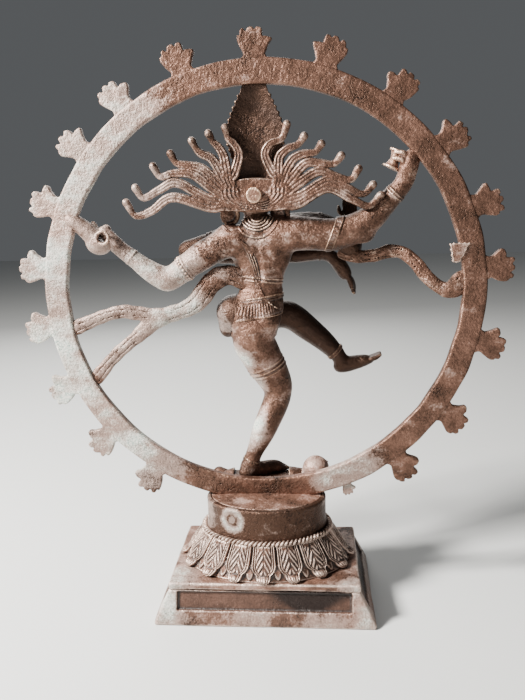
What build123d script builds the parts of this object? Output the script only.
from build123d import *
import os
from math import atan, cos, degrees, hypot, pi, sin

# Nataraja temple figure in cast brass: a hollow pedestal carries a flame ring, and the dancing
# figure stands inside the ring on a dwarf. +Z is up, the figure faces -Y and its left hand is at
# +X. The origin is on the floor under the middle of the pedestal. Everything is in millimetres.

# Driving dimensions
ringOuterR = 175
ringWidth = 18.5
ringInnerR = ringOuterR - ringWidth
ringDepth = 7
ringSink = 4  # how far the ring stands down in its socket in the deck
flameLength = 22
flameDepth = 5.5
plinthHalfX = 88
plinthHalfY = 58
slabHalfX = 76
slabHalfY = 52
skirtTopZ = 28
slabTopZ = 34
moundTopZ = 60  # the drum starts here
moundHalfX = 68
moundHalfY = 48.5
ropeR = 2.2
drumHalfX = 51
drumHalfY = 38
rimHalfX = 50
rimHalfY = 36
deckBottomZ = 83
deckTopZ = 88
castWall = 4
petalCount = 16
ringCentreZ = deckTopZ - ringSink + ringOuterR
hairDepth = 3.5
hairBackY = 1
pegAxis = (4, 334)  # x and z of the peg through the back of the head
soleZ = 98

parts = {}


def oval(halfX, halfY, z, x=0, y=0):
    """Flat oval face at height z."""
    return Pos(x, y, z) * Ellipse(halfX, halfY)


def ovalLoft(*sections):
    """Smooth body through ovals, each (x, y, z, half width, half depth)."""
    return loft([oval(halfX, halfY, z, x, y) for x, y, z, halfX, halfY in sections])


def ovalShell(bottom, top, wall):
    """Open oval tube between two ovals given as (half x, half y, z)."""
    outer = loft([oval(*bottom), oval(*top)])
    innerBottom = oval(bottom[0] - wall, bottom[1] - wall, bottom[2])
    innerTop = oval(top[0] - wall, top[1] - wall, top[2])
    return outer - loft([innerBottom, innerTop])


def limb(*stations):
    """Round tapered member through (x, y, z, radius) stations."""
    points = [Vector(*station[:3]) for station in stations]
    rings = []
    for i, station in enumerate(stations):
        ahead = points[min(i + 1, len(points) - 1)]
        behind = points[max(i - 1, 0)]
        rings.append(Plane(origin=points[i], z_dir=ahead - behind) * Circle(station[3]))
    return loft(rings)


def bentLimb(upper, lower):
    """Two limbs that share a sharply bent joint, rounded there by a ball."""
    elbow = upper[-1]
    ball = Pos(*elbow[:3]) * Sphere(elbow[3] * 1.03)
    return limb(*upper) + ball + limb(*lower)


def strip(stations, thickness):
    """Flat strap through (x, y, z, width) stations, its thin side along Y."""
    points = [Vector(*station[:3]) for station in stations]
    sections = []
    for i, station in enumerate(stations):
        along = points[min(i + 1, len(points) - 1)] - points[max(i - 1, 0)]
        plane = Plane(origin=points[i], x_dir=Vector(0, 1, 0), z_dir=along)
        sections.append(plane * RectangleRounded(thickness, station[3], thickness * 0.3))
    return loft(sections, ruled=True)


def ribbon(stations, yFront, thickness):
    """Flat curved strand in a plane of constant Y, through (x, z, width) stations."""
    left = []
    right = []
    for i, (x, z, width) in enumerate(stations):
        xAhead, zAhead, _ = stations[min(i + 1, len(stations) - 1)]
        xBehind, zBehind, _ = stations[max(i - 1, 0)]
        run = hypot(xAhead - xBehind, zAhead - zBehind)
        xSide = -(zAhead - zBehind) / run * width / 2
        zSide = (xAhead - xBehind) / run * width / 2
        left.append((x + xSide, 0, z + zSide))
        right.append((x - xSide, 0, z - zSide))
    outline = [
        Spline(*left),
        Line(left[-1], right[-1]),
        Spline(*reversed(right)),
        Line(right[0], left[0]),
    ]
    face = make_face(outline)
    return Pos(0, yFront, 0) * extrude(face, amount=thickness, dir=(0, 1, 0))


def hoop(centre, axis, radius, wire):
    """Round ring of wire about an axis."""
    return Plane(origin=centre, z_dir=axis) * Torus(radius, wire)


def cutBack(shape, *neighbours):
    """Shape less its neighbours, so that pieces meet face to face."""
    for neighbour in neighbours:
        shape = shape - neighbour
    solids = sorted(shape.solids(), key=lambda solid: solid.volume)
    largest = solids[-1].volume
    kept = [solid for solid in solids if solid.volume > largest * 0.2]
    return kept[0] if len(kept) == 1 else Compound(children=kept)


def save(name, shape):
    parts[name] = shape


# Pedestal
def makePlinth():
    """Hollow skirt, wider at the floor, with a sunk panel in each side."""
    wall = 5
    panelDepth = 2.5
    panelLowZ = 12.5
    panelHighZ = 27
    panelMargin = 7
    footZ = 3

    def skirt(inset):
        foot = Rectangle(2 * (plinthHalfX - inset), 2 * (plinthHalfY - inset))
        top = Rectangle(2 * (slabHalfX - inset), 2 * (slabHalfY - inset))
        return foot, top

    foot, top = skirt(0)
    body = extrude(foot, amount=footZ) + loft([Pos(0, 0, footZ) * foot, Pos(0, 0, skirtTopZ) * top])
    foot, top = skirt(wall)
    hollow = extrude(foot, amount=footZ) + loft([Pos(0, 0, footZ) * foot, Pos(0, 0, skirtTopZ) * top])
    body = body - hollow
    panelZ = (panelLowZ + panelHighZ) / 2
    panelTall = panelHighZ - panelLowZ
    for side in (-1, 1):
        lean = (plinthHalfY - slabHalfY) / (skirtTopZ - footZ)
        faceY = plinthHalfY - (panelZ - footZ) * lean
        panel = Box(2 * (slabHalfX - panelMargin), 2 * panelDepth, panelTall)
        body = body - Pos(0, side * faceY, panelZ) * Rot(side * degrees(atan(lean)), 0, 0) * panel
        lean = (plinthHalfX - slabHalfX) / (skirtTopZ - footZ)
        faceX = plinthHalfX - (panelZ - footZ) * lean
        panel = Box(2 * panelDepth, 2 * (slabHalfY - panelMargin), panelTall)
        body = body - Pos(side * faceX, 0, panelZ) * Rot(0, -side * degrees(atan(lean)), 0) * panel
    return body


def makeSlab():
    tall = slabTopZ - skirtTopZ
    plate = extrude(Pos(0, 0, skirtTopZ) * Rectangle(2 * slabHalfX, 2 * slabHalfY), amount=tall)
    plate = chamfer(plate.edges().group_by(Axis.Z)[-1], 1)
    well = extrude(oval(moundHalfX - castWall, moundHalfY - castWall, skirtTopZ), amount=tall)
    return plate - well


def moundPoint(turn, height):
    """Point on the lotus mound's flank and its outward direction, height from 0 at the foot to 1."""
    halfX = moundHalfX + (drumHalfX - moundHalfX) * height
    halfY = moundHalfY + (drumHalfY - moundHalfY) * height
    z = slabTopZ + (moundTopZ - slabTopZ) * height
    outward = Vector(cos(turn) / halfX, sin(turn) / halfY, 0).normalized()
    return Vector(halfX * cos(turn), halfY * sin(turn), z), outward


def evenTurns(count, phase):
    """Turns round the lotus mound that space pieces evenly along its rim."""
    steps = 720
    lengths = [0]
    for i in range(steps):
        here = moundPoint(2 * pi * i / steps, 0.5)[0]
        ahead = moundPoint(2 * pi * (i + 1) / steps, 0.5)[0]
        lengths.append(lengths[-1] + (ahead - here).length)
    turns = []
    for k in range(count):
        target = lengths[-1] * ((k + phase) % count) / count
        i = next(j for j, length in enumerate(lengths[1:]) if length >= target)
        part = (target - lengths[i]) / (lengths[i + 1] - lengths[i])
        turns.append(2 * pi * (i + part) / steps)
    return turns


def makePetals(count, phase, length, halfWidth, thickness, foot):
    """Ring of leaf-shaped petals lying on the mound's flank."""
    mound = loft([oval(moundHalfX, moundHalfY, slabTopZ), oval(drumHalfX, drumHalfY, moundTopZ)])
    petals = []
    for turn in evenTurns(count, phase):
        low, outward = moundPoint(turn, 0)
        high, _ = moundPoint(turn, 1)
        up = (high - low).normalized()
        across = Vector(0, 0, 1).cross(outward)
        plane = Plane(origin=low + up * (foot + length / 2), x_dir=up, z_dir=up.cross(across) * -1)
        leaf = plane * extrude(Ellipse(length / 2, halfWidth), amount=thickness, both=True)
        petals.append(cutBack(leaf, mound, parts["plinth_slab"], parts["rope_bead"]))
    return petals


def makeRope():
    """Plain band where the twisted rope runs round the top of the lotus."""
    outer = oval(drumHalfX + 2 * ropeR, drumHalfY + 2 * ropeR, moundTopZ)
    return extrude(outer - oval(drumHalfX, drumHalfY, moundTopZ), amount=2 * ropeR)


drumOval = (drumHalfX, drumHalfY, moundTopZ)
drum = ovalShell(drumOval, (rimHalfX, rimHalfY, deckTopZ), castWall)
save("plinth", makePlinth())
save("plinth_slab", makeSlab())
save("lotus_mound", ovalShell((moundHalfX, moundHalfY, slabTopZ), drumOval, castWall))
save("rope_bead", cutBack(makeRope(), drum))
outerPetals = makePetals(petalCount, 0, 25, 10.2, 3, 1.5)
innerPetals = makePetals(petalCount, 0.5, 16, 3.4, 2, 2.5)
innerPetals = [cutBack(petal, *outerPetals) for petal in innerPetals]
save("lotus_petals", Compound(children=[*outerPetals, *innerPetals]))

# Flame ring and its fixing
lugHalfX = 8
lugHalfY = 2.5
lugBottomZ = 66
wedgeZ = 78
wedgeR = 1.8
wedgeLength = 24

ringHub = Pos(0, 0, ringCentreZ) * Rot(90, 0, 0)
ringDisc = ringHub * Cylinder(ringOuterR, ringDepth)
ring = ringDisc - ringHub * Cylinder(ringInnerR, ringDepth)
ring = chamfer(ring.edges(), 0.8)
lugTopZ = ringCentreZ - ringOuterR
lug = Pos(0, 0, (lugBottomZ + lugTopZ) / 2) * Box(2 * lugHalfX, 2 * lugHalfY, lugTopZ - lugBottomZ)
wedge = Pos(0, 0, wedgeZ) * Rot(90, 0, 0) * Cylinder(wedgeR, wedgeLength)
save("flame_ring", ring)
save("ring_wedge", wedge)
save("ring_lug", cutBack(lug, wedge, ring))


def makeFlame():
    """Five-pointed flame standing on the origin along +Z, its root towards the ring."""
    root = 9.5
    waist = 7.5
    half = [
        (root, -4),
        (waist, 3),
        (13.5, 9),
        (11, 12),
        (11.5, 17.5),
        (6, 17.5),
        (0, flameLength),
    ]
    bulge = [1, -1.3, 0.6, -1.2, 0.6, -1.4]
    edges = [SagittaArc(start, end, sag) for start, end, sag in zip(half, half[1:], bulge)]
    mirrored = [edge.mirror(Plane.YZ) for edge in edges]
    base = Line(half[0], (-root, half[0][1]))
    face = make_face([*edges, *mirrored, base])
    return Rot(90, 0, 0) * extrude(face, amount=flameDepth / 2, both=True)


# The flames are spaced by hand: each turn is in degrees from the +X side of the ring
flameTurns = {"flame_top": 89.5}
for k, turn in enumerate([71.5, 54.5, 39, 23, 7, -8.5, -25, -42, -58]):
    flameTurns["flame_left_%d" % (k + 1)] = turn
for k, turn in enumerate([107, 125, 142, 159, 174.5, 193.5, 214, 232, 247.5]):
    flameTurns["flame_right_%d" % (k + 1)] = turn
stumpScale = 0.4  # the lowest flame on the right is a stump beside the pedestal
flame = makeFlame()
for name, turn in flameTurns.items():
    shape = scale(flame, by=stumpScale) if name == "flame_right_9" else flame
    placed = Pos(0, 0, ringCentreZ) * Rot(0, 90 - turn, 0) * Pos(0, 0, ringOuterR) * shape
    save(name, cutBack(placed, ringDisc))

# Deck, dwarf and foot pin
tenonX = 8
tenonY = -20
tenonR = 2.5
tenonBottomZ = 80
tenonTopZ = 100

tenon = Pos(tenonX, tenonY, (tenonBottomZ + tenonTopZ) / 2) * Cylinder(tenonR, tenonTopZ - tenonBottomZ)
deckLoft = loft(
    [
        oval(rimHalfX - castWall + 0.25, rimHalfY - castWall + 0.25, deckBottomZ),
        oval(rimHalfX - castWall, rimHalfY - castWall, deckTopZ),
    ]
)
deck = cutBack(deckLoft, drum, ring, parts["ring_lug"], tenon)
save("seat_deck", deck)
save("foot_tenon", tenon)
drumShell = cutBack(drum, ringDisc)
save("seat_drum", drumShell)

dwarfBack = limb(
    (36, -20, 93, 6),
    (22, -20, 93.5, 8.5),
    (2, -20, 93, 9),
    (-18, -20, 93, 9.5),
    (-31, -19, 96, 6.5),
)
floorCut = Pos(0, 0, deckTopZ) * Box(300, 300, 60, align=(Align.CENTER, Align.CENTER, Align.MAX))
footRoom = Pos(tenonX, tenonY, soleZ) * Box(60, 44, 30, align=(Align.CENTER, Align.CENTER, Align.MIN))
dwarfHead = Pos(-42, -17, 104) * Sphere(11.5)
dwarfBody = cutBack(dwarfBack, floorCut, footRoom, dwarfHead, tenon)
dwarfBody = cutBack(dwarfBody, ring)
dwarfArm = limb((-24, -26, 96, 4), (-34, -31, 92.5, 3.5), (-40, -26, 91.8, 3))
dwarfLegs = [
    limb((34, -22, 93, 5.5), (43, -24, 97, 4.5), (38, -32, 94, 3.5)),
    limb((33, -16, 92.5, 4.5), (42, -11, 92, 3.6), (46, -8, 91.5, 2.6)),
]
save("dwarf_body", dwarfBody)
save("dwarf_head", cutBack(dwarfHead, floorCut, ring))
dwarfArm = cutBack(dwarfArm, floorCut, dwarfBody, dwarfHead)
dwarfLegs = [cutBack(leg, floorCut, dwarfBody, ring) for leg in dwarfLegs]
save("dwarf_limbs", Compound(children=[dwarfArm, *dwarfLegs]))

# Trunk and head
hips = ovalLoft(
    (2, -16, 258, 16.5, 11),
    (5, -16, 248, 20, 13),
    (7, -16, 236, 22, 14),
    (8, -16, 222, 19, 12.5),
)
trunk = ovalLoft(
    (2, -16, 258, 16.5, 11),
    (1.5, -16, 270, 19, 12),
    (0.5, -16, 285, 24, 13),
    (2, -16, 299, 28, 13),
    (4.5, -16, 308, 25, 11),
    (5, -16, 314, 13, 9.5),
    (5, -16, 321, 9.5, 9),
)
head = ovalLoft(
    (5, -20, 317, 6, 7),
    (5, -19, 323, 11.5, 13),
    (5, -18, 333, 14, 15),
    (5, -18, 345, 13.5, 14),
)
crown = ovalLoft(
    (5, -18, 345, 14.5, 14),
    (4, -16, 360, 17, 12),
    (2, -13, 379, 22.5, 9.5),
    (2, -9.5, 396, 17, 6.5),
    (2, -4, 409, 11, 5),
    (2, -1, 419, 9.5, 3.4),
)
crown = cutBack(crown & ringHub * Cylinder(ringInnerR, 80), head)
fromEnd = (Align.CENTER, Align.CENTER, Align.MIN)
pegPlace = Pos(pegAxis[0], hairBackY, pegAxis[1])
pegHead = pegPlace * Rot(-90, 0, 0) * Cylinder(6, 3.5, align=fromEnd)
shank = pegPlace * Rot(90, 0, 0) * Cylinder(2.5, 12, align=fromEnd)
peg = fillet(pegHead.edges().group_by(Axis.Y)[-1], 1.4) + shank

# Hair fan
# Each lock runs from the plate to its tip: (x, z) points; the two sides differ by hand
leftLocks = [
    [(14, 328), (40, 327), (68, 334), (85, 324), (98, 320.5), (105, 331)],
    [(14, 332), (42, 333), (64, 345), (78, 340), (91, 334), (97, 342)],
    [(14, 336), (38, 341), (52, 351), (66, 352), (77, 350), (82, 358)],
    [(14, 338), (33, 345), (44, 355), (56, 358), (64, 360), (68, 367)],
    [(14, 340), (29, 350), (36, 362), (44, 366), (48, 370), (51, 376)],
    [(14, 341), (25, 352), (27, 364), (31, 371), (35, 375), (38, 381)],
    [(13, 342), (19, 352), (14, 364), (17, 372), (23, 377), (25, 385)],
]
rightLocks = [
    [(-4, 328), (-30, 328), (-52, 338), (-70, 330), (-84, 324), (-93, 332)],
    [(-4, 332), (-34, 334), (-52, 344), (-66, 339), (-79, 333), (-87, 340)],
    [(-4, 336), (-30, 342), (-46, 351), (-58, 347), (-70, 344), (-76, 352)],
    [(-4, 338), (-26, 347), (-36, 357), (-46, 357), (-57, 356), (-63, 362)],
    [(-4, 340), (-20, 350), (-26, 360), (-34, 364), (-43, 365), (-48, 371)],
    [(-4, 341), (-15, 352), (-16, 362), (-22, 368), (-30, 371), (-35, 377)],
    [(-3, 342), (-10, 352), (-4, 364), (-9, 372), (-18, 376), (-22, 386)],
]
lockWidths = [9, 8, 7, 6, 5, 4.5]
plate = Pos(4, hairBackY - hairDepth, 334) * Rot(-90, 0, 0) * extrude(Ellipse(30, 13), amount=hairDepth)
locks = []
for lock in leftLocks + rightLocks:
    stations = [(x, z, width) for (x, z), width in zip(lock, lockWidths)]
    locks.append(ribbon(stations, hairBackY - hairDepth, hairDepth))
fan = cutBack(plate.fuse(*locks), peg, crown)
head = cutBack(head, trunk, peg, fan)
trunk = cutBack(trunk, hips)

# Arms
rearRightArm = limb(
    (-14, -14, 302, 11.5),
    (-36, -13, 303, 11.4),
    (-60, -13, 303, 11.2),
    (-80, -13, 310, 10.5),
    (-95, -9.5, 324, 8),
    (-107, -5, 336, 5.8),
)
rearRightHand = limb(
    (-105, -5.6, 334, 5.2),
    (-111, -3, 345, 6),
    (-112, -2, 355, 6),
    (-114, -1, 366, 3.5),
)
rearLeftArm = limb(
    (22, -13, 300, 11),
    (42, -11, 291, 10),
    (60, -9, 279, 9),
    (77, -7, 269, 8),
    (91, -6, 277, 6.8),
    (107, -4, 290, 5),
)
rearLeftHand = limb((104, -4, 287.5, 4.6), (113, -4, 295, 6.2), (123, -3, 301, 5.6))
fireBall = Pos(130, -2, 301) * Sphere(9.5)
fireHole = Pos(124, -2, 305) * Rot(90, 0, 0) * Cylinder(3.6, 30)
fireStem = limb((149, 0, 318, 3), (141, 0, 313, 3.6), (133, -1, 306, 5))
frontRightArm = bentLimb(
    [(-14, -22, 306, 11), (-32, -26, 308, 10.5), (-52, -28, 306, 9.8), (-73, -29, 291, 7.6)],
    [(-73, -29, 291, 7.6), (-75, -35, 301, 6), (-72, -40, 312, 4.6)],
)
frontRightHand = limb((-72.3, -39.6, 310.5, 4.2), (-71, -41, 319, 6), (-70, -41, 328, 3.5))
frontLeftForearm = [
    (64, -29, 291, 7),
    (42, -40, 286, 6.4),
    (8, -44, 284, 5.8),
    (-26, -43, 284, 5.2),
    (-52, -41, 286, 4.2),
]
frontLeftArm = bentLimb([(22, -22, 303, 8.5), (44, -25, 297, 7.5), (64, -29, 291, 7)], frontLeftForearm)
frontLeftHand = limb(
    (-50, -41.3, 285.8, 3.9),
    (-61, -40, 277, 5.2),
    (-68, -40, 266, 4.4),
    (-73, -40, 254, 2.5),
)
handDrum = Plane(origin=(-103, -8, 352), z_dir=(1, 0, 0)) * Cylinder(6.5, 14)

# Legs
standingLeg = limb(
    (8, -15, 226, 16),
    (9, -16, 216, 15.3),
    (4.5, -19, 206, 15),
    (-1, -22, 194, 14.2),
    (-8, -25, 181, 12),
    (-10.5, -25, 169, 9.6),
    (-6, -22, 156, 9.6),
    (0, -18, 143, 9),
    (6, -15, 130, 7),
    (11, -14, 117, 5.6),
    (14, -14, 108, 5.6),
)
standingFoot = limb((18, -11, 103, 5.8), (12, -16, 103, 6.2), (-2, -26, 102, 6), (-14, -33, 101, 4.6))
raisedLeg = limb(
    (24, -16, 240, 14.5),
    (21, -30, 238, 14),
    (4, -42, 234, 12.6),
    (-20, -46, 233, 10.5),
    (-34, -46, 223, 9.4),
    (-52, -45, 209, 7.6),
    (-64, -44, 197, 5.4),
)
raisedFoot = limb((-61, -44, 188, 4.6), (-70, -44, 190, 6.2), (-84, -44, 192, 5.2), (-97, -44, 198, 3))

standingFoot = cutBack(standingFoot, Pos(0, 0, soleZ - deckTopZ) * floorCut)
standingLeg = cutBack(standingLeg, hips, standingFoot)
standingFoot = cutBack(standingFoot, tenon)
raisedLeg = cutBack(raisedLeg, hips, standingLeg)
raisedFoot = cutBack(raisedFoot, raisedLeg)
rearRightArm = cutBack(rearRightArm, trunk)
rearLeftArm = cutBack(rearLeftArm, trunk)
frontRightArm = cutBack(frontRightArm, trunk, rearRightArm)
fan = cutBack(fan, rearRightArm)
frontLeftArm = cutBack(frontLeftArm, trunk, rearLeftArm, frontRightArm)
rearRightHand = cutBack(rearRightHand, rearRightArm, handDrum, ring)
fireBowl = cutBack(fireStem + fireBall, ring, fireHole)
rearLeftHand = cutBack(rearLeftHand, rearLeftArm, fireBowl)
frontRightHand = cutBack(frontRightHand, frontRightArm)
frontLeftHand = cutBack(frontLeftHand, frontLeftArm)

# Dress and ornaments
belt = cutBack(ovalLoft((3, -16, 253, 20, 13.6), (6, -16, 245, 22.5, 15.2)), hips, raisedLeg, trunk)
earHoops = []
for x in (25, -15):
    earPlane = Plane(origin=(x, -15, 319), z_dir=(0.3, 1, 0))
    earDisc = hoop((x, -15, 319), (0.3, 1, 0), 6.5, 1.8) + earPlane * Cylinder(6, 1.4)
    earHoops.append(cutBack(earDisc, trunk, head, fan, rearLeftArm, rearRightArm, frontRightArm))
rightBand = Plane(origin=(-57.5, -13, 303.5), z_dir=(1, 0, 0.38)) * Cylinder(12.6, 4.6)
armlets = [
    cutBack(rightBand, rearRightArm, frontRightArm),
    cutBack(hoop((62, -9, 278.5), (1, 0, -0.7), 9.2, 1.6), rearLeftArm, frontLeftArm),
]
anklets = [
    cutBack(hoop((12.5, -14, 112), (0.4, 0, -1), 5.8, 1.5), standingLeg, standingFoot),
    cutBack(hoop((-60, -44.4, 201.5), (-1, 0, -0.9), 6.2, 1.5), raisedLeg, raisedFoot),
]
scarfDepth = 3.6
leftScarf = strip(
    [
        (18, -9, 270, 11),
        (32, -9, 272, 12),
        (43, -8, 264, 13),
        (51, -7, 252, 12),
        (62, -6, 245, 10),
        (77, -5, 240, 9),
        (88, -4, 237, 9),
    ],
    scarfDepth,
)
forkUpper = [(84, -4, 237, 8), (97, -3, 242, 7), (113, -2, 244, 7), (129, -1, 241, 7), (154, 0, 231, 7)]
forkLower = [(84, -4, 239, 8), (103, -3, 224, 7), (118, -2, 212, 7), (130, -1, 199, 7), (140, 0, 186, 7)]
leftScarf = leftScarf + strip(forkUpper, scarfDepth) + strip(forkLower, scarfDepth)
leftScarf = cutBack(leftScarf, ring, hips, trunk, belt, rearLeftArm, raisedLeg)
rightScarf = strip(
    [
        (-66, -27, 286, 8),
        (-78, -23, 284, 8),
        (-91, -20, 285, 8),
        (-103, -17, 288, 8),
        (-112, -14, 287, 8),
        (-120, -11, 281, 8),
        (-128, -9, 272, 8),
        (-137, -6, 263, 8),
        (-146, -4, 259, 8),
        (-158, 0, 264, 8),
    ],
    scarfDepth,
)
rightScarf = cutBack(rightScarf, ring, frontRightArm, rearRightArm)
tabPlace = Pos(-155, ringDepth / 2, 287) * Rot(0, 8, 0)
scarfTab = tabPlace * Box(11, 2.5, 15, align=(Align.CENTER, Align.MIN, Align.CENTER))

save("hips", hips)
save("trunk", trunk)
save("head", head)
save("crown", crown)
save("hair_fan", fan)
save("hair_peg", peg)
save("ear_hoops", Compound(children=earHoops))
save("rear_right_arm", rearRightArm)
save("rear_right_hand", rearRightHand)
save("hand_drum", handDrum)
save("rear_left_arm", rearLeftArm)
save("rear_left_hand", rearLeftHand)
save("fire_bowl", fireBowl)
save("front_right_arm", frontRightArm)
save("front_right_hand", frontRightHand)
save("front_left_arm", frontLeftArm)
save("front_left_hand", frontLeftHand)
save("standing_leg", standingLeg)
save("standing_foot", standingFoot)
save("raised_leg", raisedLeg)
save("raised_foot", raisedFoot)
save("waist_belt", belt)
save("armlets", Compound(children=armlets))
save("anklets", Compound(children=anklets))
save("left_scarf", leftScarf)
save("right_scarf", rightScarf)
save("scarf_tab", scarfTab)

os.makedirs("parts", exist_ok=True)
for name, shape in parts.items():
    export_step(shape, "parts/%s.step" % name)
print(len(parts), "pieces")
